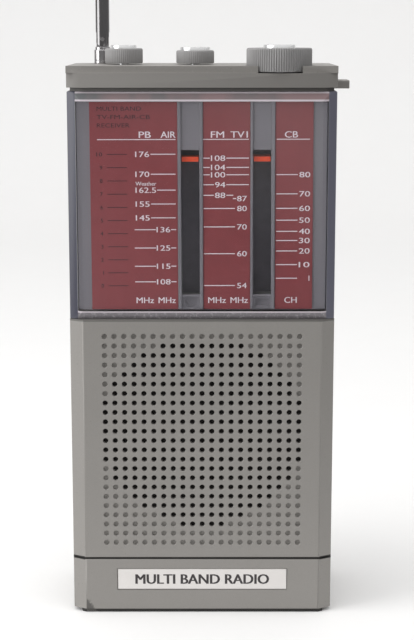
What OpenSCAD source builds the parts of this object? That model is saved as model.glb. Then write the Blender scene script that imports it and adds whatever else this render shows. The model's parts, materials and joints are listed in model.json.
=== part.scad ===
// Portable multi-band receiver: upright case with a perforated speaker front,
// a tall slide-rule dial behind a thick clear cover, three knobs on a top cap
// and a telescopic rod antenna. The origin is the middle of the foot, +Z is up,
// and the front faces -Y.

/* [Case] */
// Width across the case sides
body_w = 95; // [92:0.2:97]
// Depth from the front face to the back
body_d = 48; // [48:0.5:52]
// Height of the two shells, up to the cap
shell_top = 190.9; // [190:0.1:192]
// Height of the whole case with its cap
case_top = 199.7; // [199:0.1:201]
// Thickness of the moulded walls
wall = 2.2; // [1.8:0.1:2.6]
// Width of the slanting facet at each front corner
facet_w = 4.8; // [4:0.1:6]
// Depth of the slanting facet at each front corner
facet_d = 2.7; // [2:0.1:3.5]
// Height of the narrower foot under the case
foot_h = 1.3; // [1:0.1:2.5]

/* [Speaker front] */
// Distance between the centres of neighbouring holes
hole_pitch = 3.5; // [3.4:0.1:3.6]
// Diameter of each hole
hole_d = 2; // [1.4:0.1:2.4]
// Number of hole columns
hole_cols = 21; // [15:2:21]
// Number of hole rows
hole_rows = 23; // [17:2:23]
// Height of the lowest row above the table
hole_z = 27; // [26:0.5:28]
// Diameter of the speaker basket
speaker_d = 75; // [70:1:76]

/* [Dial] */
// Bottom of the clear cover
lens_z0 = 110.2; // [109.5:0.1:111]
// Depth of the clear cover
lens_d = 8.4; // [8:0.1:9]
// Thickness of the cover's side, top and bottom walls
lens_edge = 3.4; // [2.5:0.1:4]
// Width of each pointer slot
slot_w = 6.5; // [5:0.1:7]
// Bottom of the pointer slots
slot_z0 = 119; // [118:0.5:121]
// Top of the pointer slots
slot_z1 = 170.4; // [170:0.1:172]
// Height of the pointer at rest
pointer_z = 167.1; // [166:0.1:168]
// Height of the pointer bar
pointer_h = 1.7; // [1.2:0.1:2.2]

/* [Knobs] */
// Diameter of the volume and squelch knobs
small_knob_d = 13.7; // [12:0.1:14.5]
// Diameter of the tuning knob
big_knob_d = 23.2; // [21:0.1:24]
// Top of the volume knob's rim
volume_top = 205.5; // [204.5:0.1:207]
// Top of the squelch knob's rim
squelch_top = 204.8; // [204:0.1:207]
// Top of the tuning knob's rim
tuning_top = 205.8; // [205:0.1:207]

/* [Antenna] */
// Outside diameter of the widest section
rod_d = 5.1; // [5:0.1:5.4]
// Length of the widest section
rod_len = 118; // [100:1:130]
// Height of the tilt pin
elbow_z = 208.6; // [208.5:0.1:209.5]

/* [Hidden] */
$fn = 48;
part_gap = 0.1;
half_w = body_w / 2;
front_y = -body_d / 2;
back_y = body_d / 2;
facet_l = sqrt(facet_w * facet_w + facet_d * facet_d);
corner_r = 4;
foot_in = 3;
foot_in_front = 0.4;
case_grey = [0.55, 0.53, 0.50];
knob_grey = [0.45, 0.44, 0.43];
groove_z = 20.9;
groove_w = 0.8;
groove_d = 0.8;
label_half = 31;
label_z = [9, 16.7];
label_gap = 0.2;
screw_d = 2.4;
screw_clear_d = 3.4;
screw_head_d = 5.4;
screw_sink = 2.4;

// speaker front
grid_x0 = -hole_pitch * (hole_cols - 1) / 2;
grid_top = hole_z + hole_pitch * (hole_rows - 1);
speaker_z = grid_top - 10 * hole_pitch;
open_r = 10.25 * hole_pitch;
dimple_d = 0.7;
field_x = 38;
field_z0 = hole_z - 3;
field_z1 = grid_top + 2.6;

// dial
lens_half = half_w - 0.1;
lens_y1 = front_y + lens_d;
lens_front = 2;
floor_half = half_w - wall + 0.5;
floor_t = 1.8;
floor_y1 = lens_y1 + floor_t;
plate_y0 = front_y + 3;
plate_t = 1.2;
panel_t = 0.4;
plate_half = lens_half - lens_edge - part_gap;
plate_z0 = lens_z0 + lens_edge + part_gap;
plate_z1 = shell_top - lens_edge - part_gap;
slot_x = [-4.1, 21.2];
panel_x = [[-39.3, -8.6], [0.4, 17.0], [25.8, 39.1]];

// cord drive behind the dial
cord_y = -9;
cord_d = 0.6;
spindle_x = 27.3;
spindle_y = front_y + 10.5;
spindle_r = spindle_y > cord_y ? spindle_y - cord_y : cord_y - spindle_y;
drum_r = 15.1;
drum_x = 22;
drum_z = 122.6;
pulley_r = 3;
pulley_z = 190;
pulley_x = [drum_x - drum_r + pulley_r, drum_x + drum_r - pulley_r];
cord_gap = 0.1;
run_x = drum_x - drum_r - cord_gap - cord_d / 2;
pin_d = 1.6;
fit = 0.05;
rod_x = 10.6;
rod_y = -12;
bracket_t = 0.8;
bracket_z = 182;
stop_z = 183.6;

// controls on the cap
cap_t = 2.4;
neck_in = 1.2;
neck_top = 192.2;
slab_z = 197.3;
volume_x = -28.3;
squelch_x = -2.5;
shaft_d = 4;
bush_d = 7;
pot_d = 16;
pot_z0 = 182.5;
well_z = 197.2;
well_r = 12.1;
notch_half = 7.7;
ledge = 1.2;
knob_lift = 0.4;
seat_h = 0.6;
volume_disc_d = 9.4;
squelch_disc_d = 11;
tuning_disc_d = 11.4;
lug_y = [-9, 3];
lug_z = [191.4, 194.3];

// board, speaker and battery space
board_y = 6;
board_t = 1.6;
board_half = 41;
board_z0 = 108;
board_z1 = 180;
cell_d = 14.2;
cell_l = 50;
cell_z = 21;
cell_y = 13.5;
box_half = 31.6;
box_z0 = 16.8;
box_z1 = 78;
box_y = 5;
box_t = 1.2;
door_half = 30.4;
door_z = 18;
door_top = 76.8;
door_t = 2;
jack_y = 9;
collar_d = 6.9;
collar_proud = 0.3;
phone_bore = 3.6;
power_bore = 5.5;
power_pin = 2;
slider_travel = 24;
slider_half = 2;
phone_z = 58.3;
power_z = 46;
switch_z = 135;
switch_y = 14;
screw_spots = [[-41.3, 10], [41.3, 10], [-41.3, 184.5], [41.3, 184.5]];
boss_d = 6.4;

// antenna
ant_x = -36.8;
ant_y = 14;
bush_top = 200.9;
tube_wall = 0.35;
tube_step = 0.8;
post_top = 204.7;
post_d = 6.4;
neck_h = 1.1;
tongue_t = 2.2;
stem_d = 3;
stem_z = 191.4;
rod_sections = 5;
tube_z0 = elbow_z + 3.4;

// Box between two corners
module block(x, y, z) {
    translate([x[0], y[0], z[0]]) cube([x[1] - x[0], y[1] - y[0], z[1] - z[0]]);
}
// Upright, crosswise and lengthwise rods, each between two ends
module rod_z(x, y, z, d) {
    translate([x, y, z[0]]) cylinder(d = d, h = z[1] - z[0]);
}
module rod_y(x, z, y, d) {
    translate([x, y[1], z]) rotate([90, 0, 0]) cylinder(d = d, h = y[1] - y[0]);
}
module rod_x(y, z, x, d) {
    translate([x[0], y, z]) rotate([0, 90, 0]) cylinder(d = d, h = x[1] - x[0]);
}
// Plan of the case front with its slanting facets, set in by t
module front_plan(t, back) {
    side = half_w - t;
    face = front_y + t;
    facet_y = front_y + facet_d + t * (facet_l - facet_d) / facet_w;
    facet_x = half_w - facet_w - t * (facet_l - facet_w) / facet_d;
    polygon([[-side, back], [-side, facet_y], [-facet_x, face], [facet_x, face],
        [side, facet_y], [side, back]]);
}
// Plan of the rear half with rounded corners, set in by t
module rear_plan(t, front) {
    r = corner_r - t;
    union() {
        translate([-(half_w - t), front]) square([body_w - 2 * t, back_y - corner_r - front]);
        translate([-(half_w - corner_r), front]) square([body_w - 2 * corner_r, back_y - t - front]);
        for (s = [-1, 1]) translate([s * (half_w - corner_r), back_y - corner_r]) circle(r = r);
    }
}
// The two pointer slots, cut between two depths
module slots(y) {
    for (x = slot_x) block([x - slot_w / 2, x + slot_w / 2], y, [slot_z0, slot_z1]);
}
module upright(z) {
    translate([0, 0, z[0]]) linear_extrude(z[1] - z[0]) children();
}
// A hole of the speaker front goes right through where the cone lies behind it
function hole_open(dx, dz) = dx * dx + dz * dz <= open_r * open_r;
module hole_grid(open, y) {
    for (i = [0:hole_cols - 1]) for (j = [0:hole_rows - 1]) {
        x = grid_x0 + i * hole_pitch;
        z = hole_z + j * hole_pitch;
        if (hole_open(x, z - speaker_z) == open) rod_y(x, z, y, hole_d);
    }
}

module front_shell() {
    color(case_grey) {
        difference() {
            union() {
                upright([foot_h, shell_top]) front_plan(0, 0);
                upright([0, foot_h + 1]) intersection() {
                    front_plan(foot_in_front, 0);
                    translate([-(half_w - foot_in), front_y]) square([body_w - 2 * foot_in, body_d]);
                }
            }
            upright([wall, shell_top + 1]) front_plan(wall, 1);
            block([-half_w - 1, half_w + 1], [front_y - 1, lens_y1], [lens_z0 - part_gap, shell_top + 1]);
            block([-field_x, field_x], [front_y - 1, front_y + wall + 1], [field_z0, field_z1]);
            upright([groove_z - groove_w / 2, groove_z + groove_w / 2]) difference() {
                front_plan(-1, 0);
                front_plan(groove_d, 1);
                translate([-half_w - 2, front_y + facet_d]) square([body_w + 4, body_d]);
            }
            block([-label_half - label_gap, label_half + label_gap], [front_y - 1, front_y + 0.5],
                [label_z[0] - label_gap, label_z[1] + label_gap]);
        }
        difference() {
            union() {
                block([-floor_half, floor_half], [lens_y1, floor_y1], [lens_z0 - 2, shell_top]);
                block([-floor_half, floor_half], [front_y + wall - 0.1, lens_y1 + 0.1],
                    [lens_z0 - 2, lens_z0 - part_gap]);
            }
            slots([lens_y1 - 1, floor_y1 + 1]);
            difference() {
                block([-half_w, half_w], [front_y, lens_y1 + 0.05], [lens_z0 - 3, lens_z0]);
                upright([lens_z0 - 4, lens_z0 + 1]) front_plan(wall - 0.2, 5);
            }
        }
        block([rod_x - 2, rod_x + 2], [floor_y1 - 0.1, rod_y + 1.5], [lens_z0 - 2, lens_z0 + 0.4]);
        for (p = screw_spots) difference() {
            rod_y(p[0], p[1], [p[1] > 100 ? floor_y1 - 0.1 : front_y + wall - 0.1, -0.1], boss_d);
            rod_y(p[0], p[1], [-10, 1], screw_d);
        }
    }
}
module grille_field() {
    color(case_grey) difference() {
        block([-field_x, field_x], [front_y, front_y + wall], [field_z0, field_z1]);
        hole_grid(true, [front_y - 1, front_y + wall + 1]);
        hole_grid(false, [front_y - 1, front_y + dimple_d]);
    }
}
module rear_shell() {
    color(case_grey) {
        difference() {
            union() {
                difference() {
                    union() {
                        upright([foot_h, shell_top]) rear_plan(0, 0);
                        upright([0, foot_h + 1]) intersection() {
                            rear_plan(foot_in, 0);
                            translate([-(half_w - foot_in), 0]) square([body_w - 2 * foot_in, body_d]);
                        }
                    }
                    upright([wall, shell_top + 1]) rear_plan(wall, -1);
                }
                block([-box_half, box_half], [box_y, back_y - wall + 0.1],
                    [box_z0 - box_t, box_z1 + box_t]);
                for (p = screw_spots) rod_y(p[0], p[1], [0, back_y - 0.5], boss_d);
            }
            block([-(box_half - box_t), box_half - box_t], [box_y + box_t, back_y + 1],
                [box_z0, box_z1 - 1]);
            rod_x(back_y - 1, door_z, [-(box_half - 0.2), box_half - 0.2], 1.3);
            for (p = screw_spots) {
                rod_y(p[0], p[1], [-1, back_y + 1], screw_clear_d);
                rod_y(p[0], p[1], [back_y - screw_sink, back_y + 1], screw_head_d + 0.4);
            }
            rod_x(jack_y, phone_z, [half_w - wall - 1, half_w + 1], collar_d + 0.1);
            rod_x(jack_y, power_z, [half_w - wall - 1, half_w + 1], collar_d + 0.1);
            block([half_w - wall - 1, half_w + 1], [switch_y - slider_half, switch_y + slider_half],
                [switch_z - slider_travel / 2, switch_z + slider_travel / 2]);
        }
    }
}
module top_cap() {
    color(case_grey) difference() {
        union() {
            upright([neck_top, slab_z]) front_plan(0, 0);
            upright([neck_top, case_top]) rear_plan(0, 0);
            block([-half_w, half_w], [front_y + ledge, 0.1], [slab_z - 0.1, case_top]);
            upright([shell_top + part_gap, neck_top + 0.1]) union() {
                front_plan(neck_in, 0.1);
                rear_plan(neck_in, 0);
            }
        }
        upright([shell_top - 1, case_top - cap_t]) union() {
            front_plan(wall + neck_in, 0.1);
            rear_plan(wall + neck_in, 0);
        }
        rod_z(spindle_x, spindle_y, [well_z, case_top + 1], 2 * well_r);
        block([spindle_x - notch_half, spindle_x + notch_half], [front_y - 1, spindle_y],
            [well_z, case_top + 1]);
        rod_z(volume_x, 0, [190, case_top + 1], bush_d);
        rod_z(squelch_x, 0, [190, case_top + 1], bush_d);
        rod_z(ant_x, ant_y, [190, case_top + 1], 5);
        rod_z(spindle_x, spindle_y, [190, case_top + 1], shaft_d + 2 * fit);
        block([half_w - neck_in - wall - 1, half_w + 1], lug_y, lug_z);
    }
    color(case_grey) difference() {
        upright([well_z - 1.6, well_z]) intersection() {
            translate([spindle_x, spindle_y]) circle(r = well_r + 1.6);
            front_plan(wall, 5);
        }
        rod_z(spindle_x, spindle_y, [190, case_top + 1], shaft_d + 2 * fit);
    }
}
module dial_lens() {
    color([0.8, 0.85, 0.9, 0.35]) difference() {
        upright([lens_z0, shell_top]) intersection() {
            front_plan(0, lens_y1);
            translate([-lens_half, front_y]) square([2 * lens_half, lens_d]);
        }
        block([-(lens_half - lens_edge), lens_half - lens_edge], [front_y + lens_front, lens_y1 + 1],
            [lens_z0 + lens_edge, shell_top - lens_edge]);
    }
}
module dial_plate() {
    color([0.55, 0.54, 0.56]) difference() {
        block([-plate_half, plate_half], [plate_y0, lens_y1], [plate_z0, plate_z1]);
        block([-plate_half + 1.5, plate_half - 1.5], [plate_y0 + plate_t, lens_y1 + 1],
            [plate_z0 + 1.5, plate_z1 - 1.5]);
        slots([plate_y0 - 1, lens_y1]);
        rod_y(slot_x[0], 116.6, [plate_y0 - 1, plate_y0 + 0.8], 4.4);
        block([slot_x[1] - 2.2, slot_x[1] + 2.2], [plate_y0 - 1, plate_y0 + 0.8], [114.9, 117.4]);
    }
}
module scale_panels() {
    color([0.5, 0.28, 0.3]) for (p = panel_x)
        block(p, [plate_y0 - panel_t, plate_y0], [plate_z0, plate_z1]);
}
module name_plate() {
    color([0.92, 0.91, 0.9]) block([-label_half, label_half], [front_y + 0.1, front_y + 0.5], label_z);
}
module pointer() {
    bar_z = [pointer_z - pointer_h / 2, pointer_z + pointer_h / 2];
    back = floor_y1 + 0.3;
    color([0.95, 0.4, 0.2]) {
        for (x = slot_x)
            block([x - slot_w / 2 + 0.3, x + slot_w / 2 - 0.3], [plate_y0 + 0.6, back + 0.6], bar_z);
        difference() {
            union() {
                block([slot_x[0] - 2, slot_x[1] + 2], [back, back + 0.9], bar_z);
                block([run_x - 1.5, rod_x + 2.4], [back, cord_y - 1.5], [pointer_z - 3, pointer_z + 3]);
                block([run_x - 1.5, run_x - cord_d / 2 - fit], [back, cord_y + 0.5],
                    [pointer_z - 1.5, pointer_z + 1.5]);
            }
            rod_z(rod_x, rod_y, [pointer_z - 4, pointer_z + 4], pin_d + 2 * fit);
        }
    }
}
module guide_rod() {
    color("silver") rod_z(rod_x, rod_y, [lens_z0 + 0.4, stop_z], pin_d);
}
// Ring of cord on a wheel of radius r, less the children
module cord_arc(x, z, r) {
    difference() {
        rod_y(x, z, [cord_y - cord_d / 2, cord_y + cord_d / 2], 2 * (r + cord_gap + cord_d));
        rod_y(x, z, [cord_y - 1, cord_y + 1], 2 * (r + cord_gap));
        children();
    }
}
// One loop from the spindle over both pulleys and round the drum
module dial_cord() {
    top = pulley_z + pulley_r + cord_gap;
    color([0.85, 0.82, 0.7]) {
        block(pulley_x, [cord_y - cord_d / 2, cord_y + cord_d / 2], [top, top + cord_d]);
        for (s = [-1, 1]) {
            side = drum_x + s * (drum_r + cord_gap + cord_d / 2);
            wheel = drum_x + s * (drum_r - pulley_r);
            block([side - cord_d / 2, side + cord_d / 2], [cord_y - cord_d / 2, cord_y + cord_d / 2],
                [drum_z, pulley_z]);
            cord_arc(wheel, pulley_z, pulley_r) {
                block([wheel - 9, wheel + 9], [-12, -6], [pulley_z - 9, pulley_z]);
                block([wheel - (s + 1) * 5, wheel - (s - 1) * 5], [-12, -6], [pulley_z - 9, pulley_z + 9]);
            }
        }
        cord_arc(drum_x, drum_z, drum_r)
            block([drum_x - 20, drum_x + 20], [-12, -6], [drum_z, drum_z + 20]);
        translate([spindle_x, spindle_y, top]) difference() {
            cylinder(r = spindle_r + cord_d / 2, h = cord_d);
            translate([0, 0, -1]) cylinder(r = spindle_r - cord_d / 2, h = 3);
        }
    }
}
module cord_bracket() {
    color([0.75, 0.76, 0.78]) {
        block([5, 36.8], [floor_y1, floor_y1 + bracket_t], [bracket_z, 190.6]);
        difference() {
            union() {
                block([22, 30], [floor_y1, floor_y1 + bracket_t], [190, 192]);
                block([22, 33], [spindle_y - 5, -11], [192 - bracket_t, 192]);
            }
            rod_z(spindle_x, spindle_y, [180, 195], stem_d + 2 * fit);
        }
        for (x = pulley_x) rod_y(x, pulley_z, [floor_y1, cord_y + 1.6], pin_d);
        block([rod_x - 1.5, rod_x + 1.5], [floor_y1 + bracket_t - 0.1, rod_y + 1.5], [stop_z, stop_z + 1]);
    }
}
// Grooved wheel along Y with its bore
module cord_wheel(x, z, r, w, bore) {
    translate([x, cord_y, z]) rotate([90, 0, 0]) rotate_extrude()
        polygon([[bore / 2, -w / 2], [r + 0.6, -w / 2], [r, -cord_d / 2], [r, cord_d / 2],
            [r + 0.6, w / 2], [bore / 2, w / 2]]);
}
module left_pulley() {
    color("ivory") cord_wheel(pulley_x[0], pulley_z, pulley_r, 2, pin_d + 2 * fit);
}
module right_pulley() {
    color("ivory") cord_wheel(pulley_x[1], pulley_z, pulley_r, 2, pin_d + 2 * fit);
}
module cord_drum() {
    color("ivory") {
        difference() {
            cord_wheel(drum_x, drum_z, drum_r, 2.4, 5);
            for (a = [30:60:330])
                rod_y(drum_x + 9 * cos(a), drum_z + 9 * sin(a), [cord_y - 3, cord_y + 3], 5);
        }
        rod_y(drum_x, drum_z, [cord_y - 1.2, cord_y + 8], 5);
    }
}
module tuning_capacitor() {
    color([0.8, 0.8, 0.75]) difference() {
        block([drum_x - 10, drum_x + 10], [cord_y + 4, board_y], [drum_z - 10, drum_z + 10]);
        rod_y(drum_x, drum_z, [cord_y, cord_y + 8.5], 5 + 2 * fit);
    }
}
module tuning_spindle() {
    color("silver") translate([spindle_x, spindle_y, 0]) {
        translate([0, 0, 191.1]) cylinder(d = stem_d, h = 1.2);
        translate([0, 0, 192.2]) cylinder(r = spindle_r - cord_d / 2 - 0.1, h = 2.4);
        translate([0, 0, 194.5]) cylinder(d = shaft_d, h = tuning_top - 1.5 - 194.5);
    }
}
// Knob with a blind shaft hole and a shallow seat for its metal disc
module knob(x, y, z, d, disc_d) {
    difference() {
        rod_z(x, y, z, d);
        rod_z(x, y, [z[0] - 1, z[1] - 1.5], shaft_d);
        rod_z(x, y, [z[1] - seat_h, z[1] + 1], disc_d);
    }
}
module disc(x, y, z, d) {
    color([0.8, 0.8, 0.8]) rod_z(x, y, [z - seat_h, z + 1.1], d - 0.02);
}
// Carbon control: can, threaded bush and the bore for its shaft
module pot(x) {
    color([0.7, 0.7, 0.68]) difference() {
        union() {
            rod_z(x, 0, [pot_z0, pot_z0 + 9], pot_d);
            rod_z(x, 0, [pot_z0 + 9, case_top - 0.4], bush_d - 0.2);
        }
        rod_z(x, 0, [pot_z0 + 3, case_top + 1], shaft_d + 2 * fit);
    }
}
module pot_shaft(x, top) {
    color("silver") rod_z(x, 0, [pot_z0 + 4, top - 1.5], shaft_d);
}
module volume_pot() { pot(volume_x); }
module volume_shaft() { pot_shaft(volume_x, volume_top); }
module volume_knob() {
    color(knob_grey) knob(volume_x, 0, [case_top + knob_lift, volume_top], small_knob_d, volume_disc_d);
}
module volume_disc() { disc(volume_x, 0, volume_top, volume_disc_d); }
module squelch_pot() { pot(squelch_x); }
module squelch_shaft() { pot_shaft(squelch_x, squelch_top); }
module squelch_knob() {
    color(knob_grey) knob(squelch_x, 0, [case_top + knob_lift, squelch_top], small_knob_d, squelch_disc_d);
}
module squelch_disc() { disc(squelch_x, 0, squelch_top, squelch_disc_d); }
module tuning_knob() {
    color(knob_grey)
        knob(spindle_x, spindle_y, [well_z + knob_lift, tuning_top], big_knob_d, tuning_disc_d);
}
module tuning_disc() { disc(spindle_x, spindle_y, tuning_top, tuning_disc_d); }
module pot_nuts() {
    color("silver") for (x = [volume_x, squelch_x]) difference() {
        translate([x, 0, case_top - cap_t - 2]) cylinder(d = 11, h = 2, $fn = 6);
        rod_z(x, 0, [190, case_top], bush_d - 0.2);
    }
}
module main_board() {
    color([0.72, 0.55, 0.3]) difference() {
        block([-board_half, board_half], [board_y, board_y + board_t], [board_z0, board_z1]);
        for (s = [-1, 1]) for (z = [board_z0 + 4, board_z1 - 4])
            rod_y(s * (board_half - 4), z, [board_y - 1, board_y + 3], 2.6);
    }
}
// Screened coil cans in two rows on the rear face of the board
module coil_cans() {
    color([0.8, 0.8, 0.82]) for (i = [0:4]) for (j = [0, 1])
        block([-34 + i * 13, -26.4 + i * 13], [board_y + board_t, board_y + board_t + 10],
            [150 + j * 13, 157.6 + j * 13]);
}
module capacitors() {
    cans = [[-33, 118, 8], [-22, 118, 6.3], [-13, 118, 6.3], [-4, 120, 5], [12, 118, 8]];
    color([0.15, 0.2, 0.4]) for (p = cans)
        rod_y(p[0], p[1], [board_y + board_t, board_y + board_t + 11], p[2]);
}
module audio_chip() {
    color([0.1, 0.1, 0.1]) block([-30, -10], [board_y + board_t, board_y + board_t + 3.5], [130, 137]);
}
module band_switch() {
    color([0.75, 0.75, 0.75]) difference() {
        block([half_w - wall - 8, half_w - wall - 0.3], [board_y + board_t, switch_y + 4],
            [switch_z - 16, switch_z + 16]);
        block([half_w - wall - 4, half_w], [switch_y - slider_half, switch_y + slider_half],
            [switch_z - slider_travel / 2, switch_z + slider_travel / 2]);
    }
}
module band_slider() {
    color([0.1, 0.1, 0.1]) {
        block([half_w - wall - 3.6, half_w - 0.4],
            [switch_y - slider_half + 0.2, switch_y + slider_half - 0.2], [switch_z - 3, switch_z + 3]);
    }
}
module dust_cloth() {
    color([0.05, 0.05, 0.05]) translate([0, front_y + wall + 0.5, speaker_z]) rotate([90, 0, 0])
        cylinder(d = speaker_d, h = 0.4);
}
module speaker_frame() {
    speaker_y = front_y + wall + 0.6;
    color([0.6, 0.6, 0.62]) translate([0, speaker_y, speaker_z]) rotate([-90, 0, 0]) {
        rotate_extrude() polygon([[33, 0], [speaker_d / 2, 0], [speaker_d / 2, 1.4], [33, 1.4], [17, 12],
            [17, 13.4], [10.5, 13.4], [10.5, 12], [16, 12], [32, 0.6], [33, 0.6]]);
    }
}
module speaker_magnet() {
    color([0.2, 0.2, 0.22]) rod_y(0, speaker_z, [front_y + wall + 14, front_y + wall + 24], 32);
}
module speaker_cone() {
    speaker_y = front_y + wall + 0.6;
    color([0.08, 0.08, 0.08]) translate([0, speaker_y, speaker_z]) rotate([-90, 0, 0])
        rotate_extrude() polygon([[31.6, 0], [32.9, 0], [32.9, 0.5], [31.7, 0.5], [10, 11.4], [10, 13.3],
            [9, 13.3], [9, 11], [30, 0.6]]);
}
module dust_cap() {
    speaker_y = front_y + wall + 0.6;
    color([0.12, 0.12, 0.12]) translate([0, speaker_y + 9.6, speaker_z]) rotate([-90, 0, 0])
        rotate_extrude() polygon([[0, -1.4], [5, -0.6], [8.8, 1.4], [8.8, 2], [0, 0]]);
}
// Panel jack: body inside the wall, collar just proud of it
module jack(z, bore) {
    difference() {
        union() {
            rod_x(jack_y, z, [half_w - wall - 0.2, half_w + collar_proud], collar_d);
            block([half_w - wall - 9, half_w - wall - 0.2], [jack_y - 5, jack_y + 5], [z - 5, z + 5]);
        }
        rod_x(jack_y, z, [half_w - 10, half_w + 2], bore);
    }
}
module phone_jack() { color([0.15, 0.15, 0.15]) jack(phone_z, phone_bore); }
module power_jack() {
    color([0.15, 0.15, 0.15]) {
        jack(power_z, power_bore);
        rod_x(jack_y, power_z, [half_w - 10.2, half_w - 1], power_pin);
    }
}
// Centre of each cell, 0 to 3 from the left
function cell_x(i) = (i - 1.5) * (cell_d + 0.4);
module battery_cells() {
    color([0.2, 0.3, 0.5]) for (i = [0:3]) rod_z(cell_x(i), cell_y, [cell_z, cell_z + cell_l], cell_d);
}
module battery_springs() {
    color("silver") for (i = [0:3]) translate([cell_x(i), cell_y, box_z0 + 0.4])
        cylinder(d = 6, h = cell_z - box_z0 - 0.4);
}
module battery_plates() {
    color("silver") for (i = [0, 2]) for (z = [cell_z + cell_l, box_z0])
        block([cell_x(i) - 5, cell_x(i + 1) + 5], [cell_y - 4, cell_y + 4], [z, z + 0.4]);
}
module battery_door() {
    color(case_grey) {
        difference() {
            block([-door_half + 0.3, door_half - 0.3], [back_y - door_t, back_y], [door_z, door_top]);
            for (i = [0:4])
                block([-12, 12], [back_y - 0.5, back_y + 1], [door_top - 14 + i * 2, door_top - 13 + i * 2]);
        }
        rod_x(back_y - 1, door_z, [-door_half + 0.3, door_half - 0.3], door_t);
        rod_x(back_y - 1, door_z, [-(box_half - 0.4), box_half - 0.4], 1.2);
    }
}
module strap_lug() {
    color(case_grey) difference() {
        block([half_w - neck_in - wall, half_w + 5.2], lug_y, lug_z);
        block([half_w + 0.6, half_w + 3], [lug_y[0] + 2, lug_y[1] - 2], [lug_z[0] - 1, lug_z[1] + 1]);
    }
}
module antenna_bush() {
    color("silver") translate([ant_x, ant_y, 0]) difference() {
        union() {
            translate([0, 0, 193]) cylinder(d = 4.98, h = case_top - 193);
            translate([0, 0, case_top]) cylinder(d = post_d, h = bush_top - case_top);
            translate([0, 0, 194.5]) cylinder(d = 8, h = case_top - cap_t - 194.5);
        }
        translate([0, 0, 190]) cylinder(d = stem_d + 2 * fit, h = 20);
    }
}
module antenna_base() {
    neck = post_top + neck_h;
    color("silver") {
        rod_z(ant_x, ant_y, [stem_z, bush_top + 0.1], stem_d);
        rod_z(ant_x, ant_y, [stem_z, stem_z + 1.4], 5.4);
        rod_z(ant_x, ant_y, [bush_top + 0.05, post_top], post_d);
        rod_z(ant_x, ant_y, [post_top - 0.1, neck], 5.6);
        difference() {
            union() {
                block([ant_x - 2.3, ant_x + 2.3], [ant_y - tongue_t / 2, ant_y + tongue_t / 2],
                    [neck - 0.1, elbow_z]);
                rod_y(ant_x, elbow_z, [ant_y - tongue_t / 2, ant_y + tongue_t / 2], 4.6);
            }
            rod_y(ant_x, elbow_z, [ant_y - 2, ant_y + 2], pin_d);
        }
    }
}
module antenna_pin() {
    color("silver") rod_y(ant_x, elbow_z, [ant_y - 2.4, ant_y + 2.4], pin_d);
}
function tube_d(i) = rod_d - i * tube_step;
function tube_len(i) = rod_len - i * 2;
// One hollow section
module tube(i) {
    z0 = tube_z0 + i;
    color("silver") difference() {
        rod_z(ant_x, ant_y, [z0, z0 + tube_len(i)], tube_d(i));
        rod_z(ant_x, ant_y, [z0 - 1, z0 + tube_len(i) + 1], tube_d(i) - 2 * tube_wall);
    }
}
// The widest section ends in a rounded fork round the tongue of the base
module antenna_tube_1() {
    gap = tongue_t / 2 + 0.1;
    tube(0);
    color("silver") difference() {
        intersection() {
            rod_z(ant_x, ant_y, [elbow_z - 4, tube_z0 + 0.1], rod_d);
            union() {
                rod_y(ant_x, elbow_z, [ant_y - 4, ant_y + 4], rod_d);
                block([ant_x - 4, ant_x + 4], [ant_y - 4, ant_y + 4], [elbow_z, tube_z0 + 1]);
            }
        }
        block([ant_x - 4, ant_x + 4], [ant_y - gap, ant_y + gap], [elbow_z - 4, elbow_z + 2.5]);
        rod_y(ant_x, elbow_z, [ant_y - 4, ant_y + 4], pin_d + 2 * fit);
    }
}
module antenna_tube_2() { tube(1); }
module antenna_tube_3() { tube(2); }
module antenna_tube_4() { tube(3); }
module antenna_rod() {
    color("silver") rod_z(ant_x, ant_y, [tube_z0 + 4, tube_z0 + rod_len + 2], tube_d(rod_sections - 1));
}
module antenna_tip() {
    color("silver") translate([ant_x, ant_y, tube_z0 + rod_len + 2]) {
        cylinder(d = 5, h = 3);
        translate([0, 0, 3]) cylinder(d1 = 5, d2 = 3.4, h = 0.8);
    }
}
module screw_y(x, z, y, head_d, d) {
    rod_y(x, z, y, d);
    difference() {
        rod_y(x, z, [y[1], y[1] + 1.6], head_d);
        block([x - head_d, x + head_d], [y[1] + 0.9, y[1] + 2], [z - 0.4, z + 0.4]);
    }
}
module case_screws() {
    color([0.3, 0.3, 0.3]) for (p = screw_spots)
        screw_y(p[0], p[1], [-9, back_y - screw_sink], screw_head_d, screw_d);
}
module board_screws() {
    color("silver") for (s = [-1, 1]) for (z = [board_z0 + 4, board_z1 - 4])
        screw_y(s * (board_half - 4), z, [board_y - 6, board_y + board_t], 4.6, screw_d);
}

front_shell();
grille_field();
rear_shell();
top_cap();
dial_lens();
dial_plate();
scale_panels();
name_plate();
pointer();
guide_rod();
dial_cord();
cord_bracket();
left_pulley();
right_pulley();
cord_drum();
tuning_capacitor();
tuning_spindle();
tuning_knob();
tuning_disc();
volume_pot();
volume_shaft();
volume_knob();
volume_disc();
squelch_pot();
squelch_shaft();
squelch_knob();
squelch_disc();
pot_nuts();
main_board();
coil_cans();
capacitors();
audio_chip();
band_switch();
band_slider();
dust_cloth();
speaker_frame();
speaker_magnet();
speaker_cone();
dust_cap();
phone_jack();
power_jack();
battery_cells();
battery_springs();
battery_plates();
battery_door();
strap_lug();
antenna_bush();
antenna_base();
antenna_pin();
antenna_tube_1();
antenna_tube_2();
antenna_tube_3();
antenna_tube_4();
antenna_rod();
antenna_tip();
case_screws();
board_screws();
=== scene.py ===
"""Looks of a portable multi-band receiver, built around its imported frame."""
import json
import math

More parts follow.
